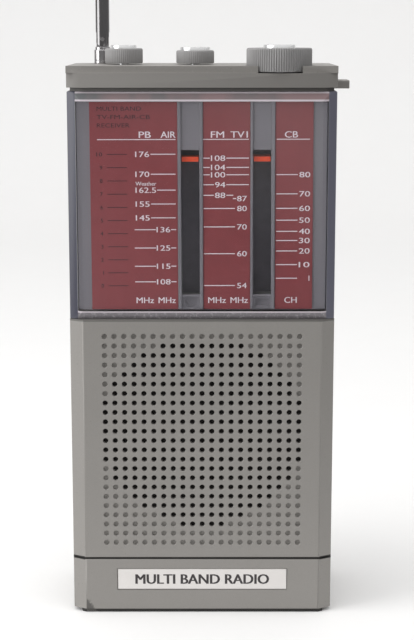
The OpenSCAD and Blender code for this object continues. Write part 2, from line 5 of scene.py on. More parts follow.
import bmesh
import bpy
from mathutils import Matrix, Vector


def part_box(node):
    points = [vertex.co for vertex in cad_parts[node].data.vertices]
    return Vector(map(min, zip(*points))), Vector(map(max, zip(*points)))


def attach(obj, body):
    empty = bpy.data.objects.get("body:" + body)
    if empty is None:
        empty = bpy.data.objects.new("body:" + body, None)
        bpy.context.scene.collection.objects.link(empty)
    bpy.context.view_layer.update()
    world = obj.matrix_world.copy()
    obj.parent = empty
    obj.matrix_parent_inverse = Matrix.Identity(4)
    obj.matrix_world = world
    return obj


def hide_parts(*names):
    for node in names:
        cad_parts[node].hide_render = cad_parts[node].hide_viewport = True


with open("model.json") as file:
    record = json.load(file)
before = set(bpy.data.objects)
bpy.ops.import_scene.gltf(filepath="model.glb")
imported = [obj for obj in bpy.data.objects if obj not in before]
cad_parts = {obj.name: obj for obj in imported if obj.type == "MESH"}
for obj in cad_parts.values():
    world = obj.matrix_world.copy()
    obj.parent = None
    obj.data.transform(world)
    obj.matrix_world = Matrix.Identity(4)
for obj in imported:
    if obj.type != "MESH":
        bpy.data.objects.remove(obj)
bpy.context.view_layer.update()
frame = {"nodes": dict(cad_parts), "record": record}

MM = 0.001
CASE_GREY = (0.262, 0.25, 0.235)
NODES = frame["nodes"]
BODY_OF = {n: body for body, names in frame["record"]["behaviour"]["bodies"].items() for n in names}
SLOT_OF = {p["node"]: p["material_slot"] for p in frame["record"]["subparts"]}

# Places that the materials follow
SHELL_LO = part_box("front_shell")[0]
FRONT_Y = SHELL_LO.y
FOOT_TOP = 1.25 * MM
GROOVE_Z, GROOVE_REACH = 20.9 * MM, 0.6 * MM
NECK_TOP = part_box("top_cap")[0].z + 1.3 * MM
SLAB_FOOT = 197.3 * MM
SCUFF_X, SCUFF_Z = SHELL_LO.x + 4.8 * MM, 1.3 * MM
SCUFF_WIDTH, SCUFF_HEIGHT = 3.1 * MM, 5.2 * MM
COVER_LO, COVER_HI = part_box("dial_lens")
CHAMFER_H, CHAMFER_D = 3.0 * MM, 1.5 * MM
EDGE_W = 3.0 * MM
SOFT = 0.1 * MM
GRAIN_DEPTH = 0.06 * MM


# ---------------------------------------------------------------- materials

class Shader:
    """A principled material and short ways to feed it from noise in the object's own space."""

    def __init__(self, name, color, rough, metallic=0.0, **sockets):
        self.mat = bpy.data.materials.new(name)
        self.mat.use_nodes = True
        self.tree = self.mat.node_tree
        self.bsdf = self.tree.nodes["Principled BSDF"]
        self.set(self.bsdf, "Base Color", (*color, 1.0))
        self.set(self.bsdf, "Roughness", rough)
        self.set(self.bsdf, "Metallic", metallic)
        for key, value in sockets.items():
            self.set(self.bsdf, key.replace("_", " "), value)
        self.coord = self.tree.nodes.new("ShaderNodeTexCoord").outputs["Object"]
        self.height = None

    @staticmethod
    def set(node, key, value):
        node.inputs[key].default_value = value

    def link(self, a, b):
        self.tree.links.new(a, b)

    def node(self, kind, **props):
        n = self.tree.nodes.new(kind)
        for key, value in props.items():
            setattr(n, key, value)
        return n

    def stretched(self, scale):
        n = self.node("ShaderNodeMapping")
        self.link(self.coord, n.inputs["Vector"])
        self.set(n, "Scale", scale)
        return n.outputs["Vector"]

    def noise(self, scale, detail=3.0, rough=0.5, vector=None):
        n = self.node("ShaderNodeTexNoise")
        self.link(vector or self.coord, n.inputs["Vector"])
        self.set(n, "Scale", scale)
        self.set(n, "Detail", detail)
        self.set(n, "Roughness", rough)
        return n.outputs["Fac"]

    def ramp(self, value, low, high, out_low=0.0, out_high=1.0):
        n = self.node("ShaderNodeMapRange")
        self.link(value, n.inputs["Value"])
        for key, v in (("From Min", low), ("From Max", high), ("To Min", out_low), ("To Max", out_high)):
            self.set(n, key, v)
        return n.outputs["Result"]

    def math(self, kind, a, b):
        n = self.node("ShaderNodeMath", operation=kind)
        for socket, v in zip(n.inputs, (a, b)):
            if isinstance(v, (int, float)):
                socket.default_value = v
            else:
                self.link(v, socket)
        return n.outputs[0]

    def mix(self, factor, a, b):
        n = self.node("ShaderNodeMix", data_type="RGBA")
        self.link(factor, n.inputs["Factor"])
        for socket, v in ((n.inputs[6], a), (n.inputs[7], b)):
            if isinstance(v, tuple):
                socket.default_value = (*v[:3], 1.0)
            else:
                self.link(v, socket)
        return n.outputs[2]

    def color(self, socket):
        self.link(socket, self.bsdf.inputs["Base Color"])

    def rough(self, socket):
        self.link(socket, self.bsdf.inputs["Roughness"])

    def bump(self, height, strength, distance):
        n = self.node("ShaderNodeBump")
        self.set(n, "Strength", strength)
        self.set(n, "Distance", distance)
        self.link(height, n.inputs["Height"])
        if self.height:
            self.link(self.height, n.inputs["Normal"])
        self.height = n.outputs["Normal"]
        self.link(self.height, self.bsdf.inputs["Normal"])

    def step(self, value, edge, soft=SOFT, up=True):
        """One above the edge and zero below it, or the other way round."""
        return self.ramp(value, edge - soft, edge + soft, *((0.0, 1.0) if up else (1.0, 0.0)))

    def between(self, value, low, high, low_soft=SOFT):
        """One from low to high and zero outside."""
        return self.math("MULTIPLY", self.step(value, low, low_soft), self.step(value, high, up=False))

    def position(self, axis):
        n = self.node("ShaderNodeSeparateXYZ")
        self.link(self.coord, n.inputs[0])
        return n.outputs[axis]


def shade(color, k):
    return tuple(min(1.0, c * k) for c in color)


def moulded(name, color, rough, spread=0.06, grain=2600.0, bump=0.25, **sockets):
    """Moulded plastic: cloudy tone, fine grain and uneven gloss."""
    s = Shader(name, color, rough, **sockets)
    cloud = s.noise(38.0, 4.0, 0.55)
    speck = s.noise(grain, 2.0, 0.6)
    tone = s.mix(cloud, shade(color, 1 - spread), shade(color, 1 + spread))
    s.color(s.mix(s.ramp(speck, 0.3, 0.7, 0.0, 0.5), tone, shade(color, 1 - 1.5 * spread)))
    s.rough(s.ramp(s.noise(120.0, 3.0), 0.3, 0.7, rough - 0.06, rough + 0.06))
    s.bump(speck, bump, GRAIN_DEPTH)
    return s


def case_plastic(name):
    """Warm grey case plastic with fine pale and dark specks. Returns it and its tone, not yet linked."""
    base = CASE_GREY
    s = Shader(name, base, 0.5, Specular_IOR_Level=0.35)
    cloud = s.noise(30.0, 4.0, 0.55)
    grain = s.noise(2400.0, 2.0, 0.6)
    fleck = s.noise(2000.0, 1.0, 0.4)
    tone = s.mix(cloud, shade(base, 0.95), shade(base, 1.05))
    tone = s.mix(s.ramp(grain, 0.35, 0.65, 0.0, 0.3), tone, shade(base, 0.88))
    tone = s.mix(s.ramp(fleck, 0.72, 0.8, 0.0, 0.6), tone, shade(base, 1.35))
    tone = s.mix(s.ramp(fleck, 0.28, 0.22, 0.0, 0.6), tone, shade(base, 0.6))
    s.rough(s.ramp(s.noise(90.0, 3.0), 0.3, 0.7, 0.42, 0.56))
    s.bump(grain, 0.3, GRAIN_DEPTH)
    return s, tone


def plain_case():
    s, tone = case_plastic("case_plastic")
    s.color(tone)
    return s


def scuff_mask(s, x, z):
    """A ragged triangle at the lower left corner of the front."""
    wobble = s.ramp(s.noise(700.0, 3.0, 0.6), 0.3, 0.7, -0.25, 0.25)
    across = s.math("MULTIPLY", s.math("SUBTRACT", x, SCUFF_X), 1 / SCUFF_WIDTH)
    upward = s.math("MULTIPLY", s.math("SUBTRACT", z, SCUFF_Z), 1 / SCUFF_HEIGHT)
    reach = s.math("ADD", s.math("ADD", across, upward), wobble)
    scuff = s.math("MULTIPLY", s.step(reach, 0.95, 0.12, up=False), s.step(x, SCUFF_X, 0.05 * MM))
    return s.math("MULTIPLY", scuff, 0.85)


def front_case():
    """Case plastic with painted shade in the groove, a painted shadow line under the cover, painted shade
    on the foot and a scuffed corner.
    """
    s, tone = case_plastic("front_plastic")
    x, y, z = (s.position(axis) for axis in "XYZ")
    inside = s.step(y, FRONT_Y + 0.25 * MM)
    # Painted shade inside the groove, where the crease falls dark.
    groove_painted_shade = s.between(z, GROOVE_Z - GROOVE_REACH, GROOVE_Z + GROOVE_REACH)
    tone = s.mix(s.math("MULTIPLY", inside, groove_painted_shade), tone, shade(CASE_GREY, 0.12))
    # Painted shade on the recessed foot under the case.
    tone = s.mix(s.step(z, FOOT_TOP, up=False), tone, shade(CASE_GREY, 0.08))
    # Painted shadow: a dark line on the case just under the cover.
    cover_shadow_line = s.between(z, COVER_LO.z - 0.75 * MM, COVER_LO.z, 0.15 * MM)
    tone = s.mix(cover_shadow_line, tone, shade(CASE_GREY, 0.5))
    s.color(s.mix(scuff_mask(s, x, z), tone, shade(CASE_GREY, 0.3)))
    return s


def cap_case():
    """Case plastic with painted shade below the cap's overhanging slab and a darker painted shadow at its
    narrow neck.
    """
    s, tone = case_plastic("cap_plastic")
    height = s.position("Z")
    # Painted shade on the cap below the slab's foot.
    tone = s.mix(s.step(height, SLAB_FOOT, 0.05 * MM, up=False), tone, shade(CASE_GREY, 0.84))
    # Painted shadow in the narrow neck under the cap.
    neck = s.step(height, NECK_TOP - 0.05 * MM, 0.04 * MM, up=False)
    s.color(s.mix(neck, tone, shade(CASE_GREY, 0.4)))
    return s


def polished(name, color, rough, scratch=(1.0, 1.0, 1.0)):
    """Bright metal with hairlines along the axis that scratch leaves short."""
    s = Shader(name, color, rough, 1.0)
    lines = s.noise(1500.0, 2.0, 0.6, s.stretched(scratch))
    s.color(s.mix(s.ramp(s.noise(60.0), 0.3, 0.7), shade(color, 0.93), shade(color, 1.04)))
    s.rough(s.ramp(lines, 0.25, 0.75, rough * 0.7, rough * 1.4))
    s.bump(lines, 0.2, 0.01 * MM)
    return s


def turned(name, color, rough, centre):
    """Spun metal: fine rings round an upright axis at centre."""
    s = Shader(name, color, rough, 1.0)
    shift = s.node("ShaderNodeVectorMath", operation="SUBTRACT")
    s.link(s.coord, shift.inputs[0])
    shift.inputs[1].default_value = (*centre, 0.0)
    flat = s.node("ShaderNodeVectorMath", operation="MULTIPLY")
    s.link(shift.outputs[0], flat.inputs[0])
    flat.inputs[1].default_value = (1.0, 1.0, 0.0)
    length = s.node("ShaderNodeVectorMath", operation="LENGTH")
    s.link(flat.outputs[0], length.inputs[0])
    rings = s.math("SINE", s.math("MULTIPLY", length.outputs["Value"], 2 * math.pi / (0.35 * MM)), 0.0)
    s.color(s.mix(s.ramp(rings, -1.0, 1.0), shade(color, 0.9), color))
    s.rough(s.ramp(s.noise(300.0), 0.3, 0.7, rough * 0.8, rough * 1.3))
    s.bump(rings, 0.15, 0.02 * MM)
    return s


CLEAR = (0.93, 0.95, 0.985)


def cover_bands(s, z, at_top):
    """Painted colour of the cover's chamfers in place of what is seen through them: pinkish patches above,
    pale streaks below, with painted highlights as pale lines along their edges.
    """
    patches = s.ramp(s.noise(42.0, 3.0, 0.6, s.stretched((1.0, 1.0, 0.3))), 0.42, 0.6)
    pale_streaks = s.ramp(s.noise(900.0, 4.0, 0.75, s.stretched((1.0, 1.0, 0.6))), 0.52, 0.72)
    # Painted reflection and view through the chamfers: pinkish patches above for the maroon under a pale
    # veil, pale streaks below.
    above = s.mix(patches, (0.26, 0.175, 0.18), (0.135, 0.14, 0.145))
    below = s.mix(pale_streaks, (0.2, 0.185, 0.2), (0.46, 0.43, 0.46))
    band = s.mix(at_top, below, above)
    lines = ((COVER_HI.z - 0.25 * MM, 0.35 * MM), (COVER_HI.z - CHAMFER_H - 0.05 * MM, 0.32 * MM),
             (COVER_LO.z + CHAMFER_H - 0.28 * MM, 0.28 * MM))
    # Painted highlights: pale lines where the chamfer edges catch the light.
    for middle, half in lines:
        away = s.math("ABSOLUTE", s.math("SUBTRACT", z, middle), 0.0)
        band = s.mix(s.step(away, half, 0.08 * MM, up=False), band, (0.62, 0.56, 0.6))
    return band


def clear_cover():
    """Clear moulding with a near-opaque, rougher rim whose colour is painted in place of the view through
    it: slate at the sides, darker on the left, and paler painted reflection above and below.
    """
    s = Shader("clear_cover", CLEAR, 0.02, Transmission_Weight=1.0, IOR=1.49)
    x, z = s.position("X"), s.position("Z")
    at_side = s.step(s.math("ABSOLUTE", x, 0.0), COVER_HI.x - EDGE_W)
    at_top = s.step(z, COVER_HI.z - CHAMFER_H - 0.4 * MM, 0.05 * MM)
    at_foot = s.step(z, COVER_LO.z + CHAMFER_H, 0.05 * MM, up=False)
    rim = s.math("MAXIMUM", at_side, s.math("MAXIMUM", at_top, at_foot))
    # Painted view through the side walls: slate for the dark inside, painted darker on the left.
    slate = s.mix(s.step(x, 0.0, up=False), (0.135, 0.135, 0.175), (0.06, 0.06, 0.085))
    s.color(s.mix(rim, CLEAR, s.mix(at_side, cover_bands(s, z, at_top), slate)))
    s.link(s.math("SUBTRACT", 1.0, s.math("MULTIPLY", rim, 0.9)), s.bsdf.inputs["Transmission Weight"])
    haze = s.ramp(s.noise(400.0, 4.0, 0.7), 0.55, 0.8, 0.01, 0.09)
    s.rough(s.math("ADD", haze, s.math("MULTIPLY", rim, 0.28)))
    return s


def printed(name, color, rough, spread=0.05):
    """Printed film: even ink with faint mottling."""
    s = Shader(name, color, rough)
    mottle = s.noise(260.0, 4.0, 0.6)
    s.color(s.mix(s.ramp(mottle, 0.25, 0.75), shade(color, 1 - spread), shade(color, 1 + spread)))
    s.rough(s.ramp(s.noise(90.0), 0.3, 0.7, rough - 0.04, rough + 0.04))
    s.bump(s.noise(1800.0, 2.0), 0.1, 0.03 * MM)
    return s


def woven(name, color):
    """Open cloth: crossed threads."""
    s = Shader(name, color, 0.9)
    turns = 2 * math.pi / (0.6 * MM)
    across, upward = (s.math("SINE", s.math("MULTIPLY", s.position(axis), turns), 0.0) for axis in "XZ")
    weave = s.math("MULTIPLY", across, upward)
    s.color(s.mix(s.ramp(weave, -1.0, 1.0), shade(color, 0.5), shade(color, 1.5)))
    s.bump(weave, 0.6, 0.1 * MM)
    return s


FRONT_CASE, CAP_CASE = front_case(), cap_case()
# A darker copy of the chrome, painted dark for the dark reflections along the mast.
DARK_MAST_CHROME = polished("mast_chrome", (0.19, 0.185, 0.187), 0.16, (1.0, 1.0, 0.05))
# Colour of the dark cards that stand as painted shade behind the pointer slots.
SHADOW_CARD = printed("slot_shadow_card", (0.19, 0.17, 0.185), 0.6, 0.1)
MATS = {
    "case": plain_case(),
    "clear_cover": clear_cover(),
    "dial_silver": moulded("dial_silver", (0.228, 0.21, 0.222), 0.42, 0.04, 1800.0, 0.1),
    "maroon_print": printed("maroon_print", (0.265, 0.052, 0.055), 0.4),
    "white_label": printed("white_label", (0.7, 0.675, 0.655), 0.45, 0.02),
    "pointer_orange": printed("pointer_orange", (0.95, 0.085, 0.02), 0.35, 0.03),
    "bright_metal": polished("bright_metal", (0.78, 0.78, 0.78), 0.22),
    "chrome": polished("chrome", (0.41, 0.4, 0.405), 0.16, (1.0, 1.0, 0.05)),
    "can_metal": polished("can_metal", (0.62, 0.62, 0.62), 0.4),
    "knob_grey": moulded("knob_grey", (0.27, 0.264, 0.263), 0.45, 0.05),
    "ivory_plastic": moulded("ivory_plastic", (0.72, 0.68, 0.56), 0.45),
    "black_plastic": moulded("black_plastic", (0.03, 0.03, 0.03), 0.45),
    "part_wrap": moulded("part_wrap", (0.05, 0.09, 0.2), 0.3),
    "cord": moulded("waxed_cord", (0.68, 0.64, 0.5), 0.7, 0.12, 4000.0, 0.8),
    "board": printed("bare_board", (0.42, 0.26, 0.11), 0.6, 0.15),
    "black_cloth": woven("black_cloth", (0.045, 0.041, 0.04)),
    "cone": moulded("cone_paper", (0.03, 0.03, 0.032), 0.85, 0.2, 1500.0, 0.8),
}


# ------------------------------------------------------------------- shapes

WELD = 0.002 * MM


def finish_mesh(bm, name, sharp_deg=30.0, recalc=True):
    """Closes a bmesh into an object with edges over sharp_deg kept sharp."""
    if recalc:
        bmesh.ops.recalc_face_normals(bm, faces=bm.faces)
    for f in bm.faces:
        f.smooth = True
    for e in bm.edges:
        e.smooth = len(e.link_faces) != 2 or e.calc_face_angle(0.0) < math.radians(sharp_deg)
    mesh = bpy.data.meshes.new(name)
    bm.to_mesh(mesh)
    bm.free()
    obj = bpy.data.objects.new(name, mesh)
    bpy.context.collection.objects.link(obj)
    return obj


def dress(obj, slot, body, *replaced, mat=None):
    """Gives a piece its material, the slot's own unless one is given, and its body, and hides the nodes
    that it stands for.
    """
    obj.data.materials.clear()
    obj.data.materials.append((mat or MATS[slot]).mat)
    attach(obj, body)
    if replaced:
        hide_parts(*replaced)
    return obj


def cad_mesh(node, flat_deg=1.0):
    """A welded copy of a node's mesh with its flat faces joined."""
    bm = bmesh.new()
    bm.from_mesh(NODES[node].data)
    bmesh.ops.remove_doubles(bm, verts=bm.verts, dist=WELD)
    bmesh.ops.dissolve_limit(bm, angle_limit=math.radians(flat_deg), verts=bm.verts, edges=bm.edges)
    return bm


def rounded(obj, width, segments=3, by_weight=False):
    """Rounds a piece's edges."""
    m = obj.modifiers.new("rounding", "BEVEL")
    m.width = width
    m.segments = segments
    m.limit_method = "WEIGHT" if by_weight else "ANGLE"
    m.angle_limit = math.radians(30)
    m.harden_normals = True
    m.use_clamp_overlap = True
    return m


def refined(node, width, segments=3, mat=None):
    """A node's own shape, welded and with rounded edges, standing for it."""
    obj = finish_mesh(cad_mesh(node), node + "_finished")
    rounded(obj, width, segments)
    return dress(obj, SLOT_OF[node], BODY_OF[node], node, mat=mat)


def box_mesh(bm, lo, hi):
    """Adds a box between two corners."""
    for v in bmesh.ops.create_cube(bm, size=1.0)["verts"]:
        v.co = Vector([l + (h - l) * (c + 0.5) for l, h, c in zip(lo, hi, v.co)])


def lathe(bm, profile, centre, steps=96, ribs=0, rib_depth=0.0, hollow=False):
    """Turns (radius, height, ribbed) points round an upright axis. A hollow outline closes on itself."""
    rings = []
    for radius, height, ribbed in profile:
        ring = []
        for i in range(steps):
            a = 2 * math.pi * i / steps
            tooth = ribbed * rib_depth * 0.5 * (1 - math.cos(a * ribs)) if ribs else 0.0
            r = max(radius - tooth, 1e-6)
            ring.append(bm.verts.new((centre[0] + r * math.cos(a), centre[1] + r * math.sin(a), height)))
        rings.append(ring)
    for low, high in zip(rings, rings[1:] + rings[:1] if hollow else rings[1:]):
        for i in range(steps):
            j = (i + 1) % steps
            bm.faces.new((low[i], low[j], high[j], high[i]))
    for ring in () if hollow else (rings[0], rings[-1]):
        bm.faces.new(ring)


# -------------------------------------------------------------- clear cover

FACET_W, FACET_D = 4.8 * MM, 2.7 * MM
COVER_FRONT, COVER_EDGE = 2.0 * MM, 3.4 * MM


def clear_dial_cover():
    """The hollow cover: slanting sides, and a chamfer along its top and bottom."""
    lo, hi = COVER_LO, COVER_HI
    bm = bmesh.new()
    wide, deep = hi.x, lo.y + FACET_D
    face = hi.x - FACET_W
    mitre, mid = face + CHAMFER_D * FACET_W / FACET_D, lo.y + CHAMFER_D

    def ring(half, y, z0, z1):
        return [bm.verts.new(c) for c in ((-half, y, z0), (half, y, z0), (half, y, z1), (-half, y, z1))]

    front = ring(face, lo.y, lo.z + CHAMFER_H, hi.z - CHAMFER_H)
    step, side, back = (ring(half, y, lo.z, hi.z) for half, y in ((mitre, mid), (wide, deep), (wide, hi.y)))
    rim, roof = (ring(hi.x - COVER_EDGE, y, lo.z + COVER_EDGE, hi.z - COVER_EDGE)
                 for y in (hi.y, lo.y + COVER_FRONT))
    bm.faces.new(front)
    bm.faces.new(roof)
    for a, b in ((back, rim), (rim, roof), (side, back)):
        for i in range(4):
            bm.faces.new((a[i], a[(i + 1) % 4], b[(i + 1) % 4], b[i]))
    for i, j in ((0, 1), (2, 3)):
        bm.faces.new((front[i], front[j], step[j], step[i]))
        bm.faces.new((step[i], step[j], side[j], side[i]))
    for i, j in ((1, 2), (3, 0)):
        bm.faces.new((front[i], front[j], step[j], side[j], side[i], step[i]))
    cover = finish_mesh(bm, "clear_dial_cover")
    rounded(cover, 0.35 * MM, 3)
    dress(cover, "clear_cover", BODY_OF["dial_lens"], "dial_lens")
    cover.visible_shadow = False


# -------------------------------------------------------------- front shell

HOLE_PITCH = 3.5 * MM
HOLE_COLS, HOLE_ROWS = 21, 23
SPEAKER_ROW = 12
GRID_RAISE = 0.2 * MM
HOLE_R = 0.97 * MM
RIM = 0.13 * MM
TAPER = 0.97
DISH = 0.2 * MM
SPOKES = 16
OPEN_REACH_X, OPEN_REACH_Z = 10.5 * HOLE_PITCH, 10.22 * HOLE_PITCH
OPEN_DEPTH, BLIND_DEPTH = 1.8 * MM, 0.85 * MM
SHORT_EDGE = 6.0 * MM


def square_ring(x, z, half):
    """Points on a square round (x, z), one per spoke of a hole."""
    ring = []
    for i in range(SPOKES):
        a = 2 * math.pi * i / SPOKES
        k = half / max(abs(math.cos(a)), abs(math.sin(a)))
        ring.append((x + k * math.cos(a), z + k * math.sin(a)))
    return ring


def circle_ring(x, z, radius):
    """Points on a circle round (x, z), one per spoke."""
    turn = 2 * math.pi / SPOKES
    return [(x + radius * math.cos(turn * i), z + radius * math.sin(turn * i)) for i in range(SPOKES)]


def bridge(bm, outer, inner):
    """A band of faces between two rings."""
    for i in range(SPOKES):
        j = (i + 1) % SPOKES
        bm.faces.new((outer[i], outer[j], inner[j], inner[i]))


def hole_cell(bm, x, z, y, is_open):
    """One square of the front with its hole: chamfered rim, wall, and a floor if it is blind."""
    depth = OPEN_DEPTH if is_open else BLIND_DEPTH
    rings = [[bm.verts.new((px, y, pz)) for px, pz in square_ring(x, z, HOLE_PITCH / 2)]]
    for radius, sink in ((HOLE_R + RIM, 0.0), (HOLE_R, RIM), (HOLE_R * TAPER, depth)):
        rings.append([bm.verts.new((px, y + sink, pz)) for px, pz in circle_ring(x, z, radius)])
    for outer, inner in zip(rings, rings[1:]):
        bridge(bm, outer, inner)
    if not is_open:
        tip = bm.verts.new((x, y + depth + DISH, z))
        for i in range(SPOKES):
            bm.faces.new((rings[-1][i], rings[-1][(i + 1) % SPOKES], tip))


def perforated_front(bm, lo, hi, y):
    """Fills the window between lo and hi with the hole grid and a plain margin."""
    half = HOLE_PITCH / 2
    x0 = -half * (HOLE_COLS - 1)
    z0 = (lo.z + hi.z) / 2 + GRID_RAISE - half * (HOLE_ROWS - 1)
    speaker_z = z0 + HOLE_PITCH * SPEAKER_ROW
    for i in range(HOLE_COLS):
        for j in range(HOLE_ROWS):
            x, z = x0 + i * HOLE_PITCH, z0 + j * HOLE_PITCH
            near = math.hypot(x / OPEN_REACH_X, (z - speaker_z) / OPEN_REACH_Z) <= 1.0
            hole_cell(bm, x, z, y, near and j < HOLE_ROWS - 1)
    left, right = x0 - half, half - x0
    foot, top = z0 - half, z0 + HOLE_PITCH * (HOLE_ROWS - 1) + half
    for xa, xb, za, zb in ((lo.x, left, lo.z, hi.z), (right, hi.x, lo.z, hi.z),
                           (left, right, lo.z, foot), (left, right, top, hi.z)):
        bm.faces.new([bm.verts.new((px, y, pz)) for px, pz in ((xa, za), (xb, za), (xb, zb), (xa, zb))])


def front_shell():
    """The front moulding and its perforated field as one skin."""
    lo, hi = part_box("grille_field")
    bm = cad_mesh("front_shell")
    bmesh.ops.triangulate(bm, faces=[f for f in bm.faces if len(f.verts) > 4])
    weight = bm.edges.layers.float.new("bevel_weight_edge")
    slack = 0.05 * MM

    def in_window(co):
        beside = lo.x - slack <= co.x <= hi.x + slack and lo.z - slack <= co.z <= hi.z + slack
        return beside and co.y < hi.y + slack

    for e in bm.edges:
        bend = len(e.link_faces) == 2 and e.calc_face_angle(0.0) > math.radians(25)
        framing = all(in_window(v.co) for v in e.verts)
        e[weight] = 1.0 if bend and not framing and e.calc_length() > SHORT_EDGE else 0.0
    shell = finish_mesh(bm, "front_moulding", 25.0)
    rounded(shell, 0.3 * MM, 3, by_weight=True).use_clamp_overlap = False
    dress(shell, "case", BODY_OF["front_shell"], "front_shell", mat=FRONT_CASE)
    bm = bmesh.new()
    perforated_front(bm, lo, hi, lo.y)
    bmesh.ops.remove_doubles(bm, verts=bm.verts, dist=WELD)
    field = finish_mesh(bm, "perforated_front", 35.0, recalc=False)
    dress(field, "case", BODY_OF["grille_field"], "grille_field")


# --------------------------------------------------------------- dial print

# The logging scale, which every other scale is placed by
LOG_ZERO_Z, LOG_STEP = 122.3 * MM, 4.67 * MM
HEAD_Z, RULE_Z, FOOT_Z = 175.85 * MM, 174.15 * MM, 117.05 * MM
NUMBER_H, HEAD_H, UNIT_H, LOG_H, SMALL_H = 1.9 * MM, 2.2 * MM, 2.1 * MM, 1.4 * MM, 1.35 * MM
LINE_H, RULE_H, LOG_LINE_H = 0.32 * MM, 0.3 * MM, 0.24 * MM
BOLD = 0.012
CAP_HEIGHT = 0.69
INK = 0.004 * MM
# Each scale: its numbers, and where each stands on the 0 to 10 logging scale
HIGH_BAND = (("176", 10.0), ("170", 8.5), ("162.5", 7.3), ("155", 6.25), ("145", 5.2))
AIR_BAND = (("136", 4.3), ("125", 2.9), ("115", 1.5), ("108", 0.3))
FM_BAND = (("108", 9.7), ("104", 9.0), ("100", 8.45), ("94", 7.7), ("88", 6.9))
LOW_BAND = (("80", 5.9), ("70", 4.5), ("60", 2.45), ("54", 0.0))
CHANNELS = (("80", 8.45), ("70", 7.0), ("60", 5.9), ("50", 5.0), ("40", 4.15), ("30", 3.45), ("20", 2.65),
            ("10", 1.6), ("1", 0.55))
LONG_NUMBER = "162.5"
LAST_FM, NEXT_TV = "88", "87"
WEATHER_AT, NEXT_TV_AT = 7.3, 6.65
# Left and right ends, in mm from the middle of the dial
PANEL_RULES = ((-36.7, -9.2), (0.4, 16.5), (26.25, 37.9))
# Text, middle and width in mm
HEADINGS = (("PB", -19.95, 4.2), ("AIR", -11.8, 5.2), ("FM", 5.5, 4.6), ("TV1", 13.1, 6.0),
            ("CB", 31.4, 4.6))
UNITS = (("MHz", -20.35, 6.2), ("MHz", -12.55, 6.1), ("MHz", 5.25, 6.3), ("MHz", 13.15, 6.2),
         ("CH", 31.45, 4.4))
SMALL_LINES = (("MULTI BAND", 15.5), ("TV-FM-AIR-CB", 18.6), ("RECEIVER", 11.5))
SMALL_X, SMALL_Z, SMALL_STEP = -36.7 * MM, 184.9 * MM, 2.9 * MM


class Print:
    """Flat lettering and lines on a plane that faces the front."""

    def __init__(self, name, y):
        self.name = name
        self.y = y
        self.bm = bmesh.new()

    def words(self, text, x, z, height, align="LEFT", width=None, bold=0.0):
        """Lettering with its middle height at z. Width fits two or more characters, bold prints twice."""
        curve = bpy.data.curves.new("lettering", "FONT")
        curve.body = text
        curve.size = 1.0
        curve.resolution_u = 3
        obj = bpy.data.objects.new("lettering", curve)
        bpy.context.collection.objects.link(obj)
        bpy.context.view_layer.update()
        mesh = bpy.data.meshes.new_from_object(obj.evaluated_get(bpy.context.evaluated_depsgraph_get()))
        xs = [v.co.x for v in mesh.vertices]
        k = height / CAP_HEIGHT
        kx = width / (max(xs) - min(xs)) if width and len(text) > 1 else k
        start = {"LEFT": min(xs), "RIGHT": max(xs), "CENTER": (max(xs) + min(xs)) / 2}[align]
        flat = [v.co.copy() for v in mesh.vertices]
        for side in ((-1, 1) if bold else (0,)):
            for v, co in zip(mesh.vertices, flat):
                across = x + (co.x - start) * kx + side * bold * k
                v.co = Vector((across, self.y - side * INK, z + (co.y - CAP_HEIGHT / 2) * k))
            self.bm.from_mesh(mesh)
        bpy.data.objects.remove(obj)
        bpy.data.curves.remove(curve)
        bpy.data.meshes.remove(mesh)

    def line(self, x0, x1, z, height=LINE_H):
        """A level line between x0 and x1."""
        corners = ((x0, z - height / 2), (x1, z - height / 2), (x1, z + height / 2), (x0, z + height / 2))
        self.bm.faces.new([self.bm.verts.new((x, self.y, zz)) for x, zz in corners])

    def done(self, slot, body, mat):
        """Makes the piece, with every face turned to the front."""
        obj = finish_mesh(self.bm, self.name)
        for p in obj.data.polygons:
            if p.normal.y > 0:
                p.flip()
        return dress(obj, slot, body, mat=mat)


def log_z(value):
    return LOG_ZERO_Z + value * LOG_STEP


def left_panel(ink):
    """High band numbers with ticks to their right, and air band numbers between two ticks."""
    for text, value in HIGH_BAND:
        width, tick = (7.2, -15.8) if text == LONG_NUMBER else (4.9, -18.0)
        ink.words(text, -23.4 * MM, log_z(value), NUMBER_H, width=width * MM, bold=BOLD)
        ink.line(tick * MM, -9.3 * MM, log_z(value))
    ink.words("Weather", -23.4 * MM, log_z(WEATHER_AT) + 2.3 * MM, SMALL_H, width=7.3 * MM, bold=BOLD)
    for text, value in AIR_BAND:
        ink.line(-23.9 * MM, -16.4 * MM, log_z(value))
        ink.words(text, -16.1 * MM, log_z(value), NUMBER_H, width=4.8 * MM, bold=BOLD)
        ink.line(-11.0 * MM, -9.2 * MM, log_z(value))


def middle_panel(ink):
    """Broadcast numbers between two ticks, and television numbers at the right."""
    number_right = 15.8 * MM
    for text, value in FM_BAND:
        width = 5.0 if len(text) == 3 else 3.6
        tick = 11.0 if text == LAST_FM else 16.5
        ink.line(0.5 * MM, (7.75 - width) * MM, log_z(value))
        ink.words(text, 8.2 * MM, log_z(value), NUMBER_H, "RIGHT", width * MM, bold=BOLD)
        ink.line(8.6 * MM, tick * MM, log_z(value))
    ink.line(10.9 * MM, 12.1 * MM, log_z(NEXT_TV_AT))
    ink.words(NEXT_TV, number_right, log_z(NEXT_TV_AT), NUMBER_H, "RIGHT", 3.4 * MM, bold=BOLD)
    for text, value in LOW_BAND:
        ink.line(0.6 * MM, 11.6 * MM, log_z(value))
        ink.words(text, number_right, log_z(value), NUMBER_H, "RIGHT", 3.4 * MM, bold=BOLD)


def right_panel(ink):
    """Channel numbers, each with a tick at its left."""
    for text, value in CHANNELS:
        ink.line(26.2 * MM, 33.7 * MM, log_z(value))
        ink.words(text, 38.1 * MM, log_z(value), NUMBER_H, "RIGHT", 3.8 * MM, bold=BOLD)


